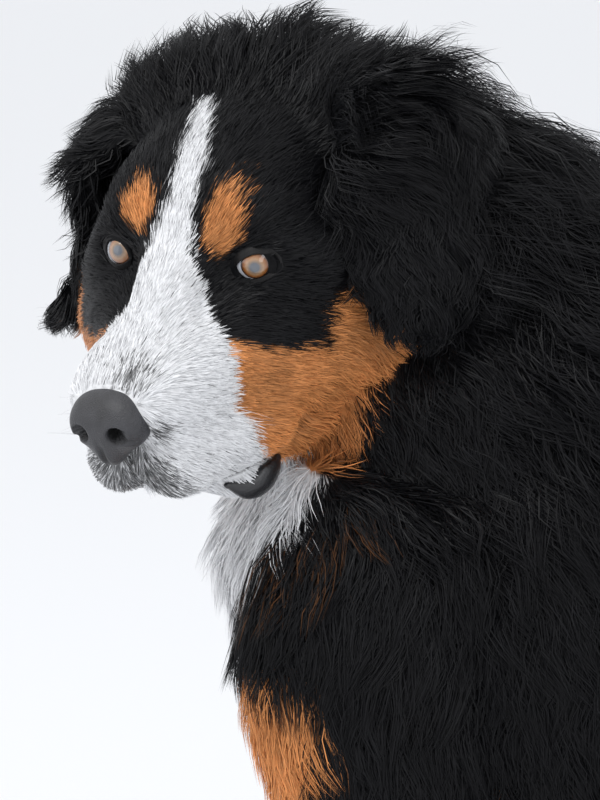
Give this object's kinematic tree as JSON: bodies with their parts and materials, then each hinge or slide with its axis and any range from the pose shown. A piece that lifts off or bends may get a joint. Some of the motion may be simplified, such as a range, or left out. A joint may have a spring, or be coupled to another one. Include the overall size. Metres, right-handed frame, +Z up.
{
  "type": "life-size dog model",
  "caption": "Life-size still model of a sitting Bernese mountain dog with a long tricolour coat, its head turned to its left.",
  "frame": {"origin": "on the floor, under the middle of the bounding box", "axes": "+Z up from the floor the dog sits on, +Y towards the dog's rump and tail, so its chest faces -Y, and +X towards the dog's left side"},
  "size_m": [0.467, 0.9028, 0.7801],
  "materials": {
    "head_fur": "short black, tan and white fur",
    "white_fur": "white fur",
    "black_fur": "long wavy black fur with a soft sheen",
    "leg_fur": "tan fur, white on the paws",
    "nose_leather": "grained, slightly moist",
    "eyes": "clear and glossy"
  },
  "bodies": {
    "root": {"head": "head_fur", "lower_jaw": "white_fur", "nose": "nose_leather", "eye_left": "eyes", "eye_right": "eyes", "ear_left": "black_fur", "ear_right": "black_fur", "neck": "black_fur", "torso": "black_fur", "foreleg_left": "leg_fur", "foreleg_right": "leg_fur", "hindleg_left": "leg_fur", "hindleg_right": "leg_fur", "tail": "black_fur"}
  },
  "joints": []
}
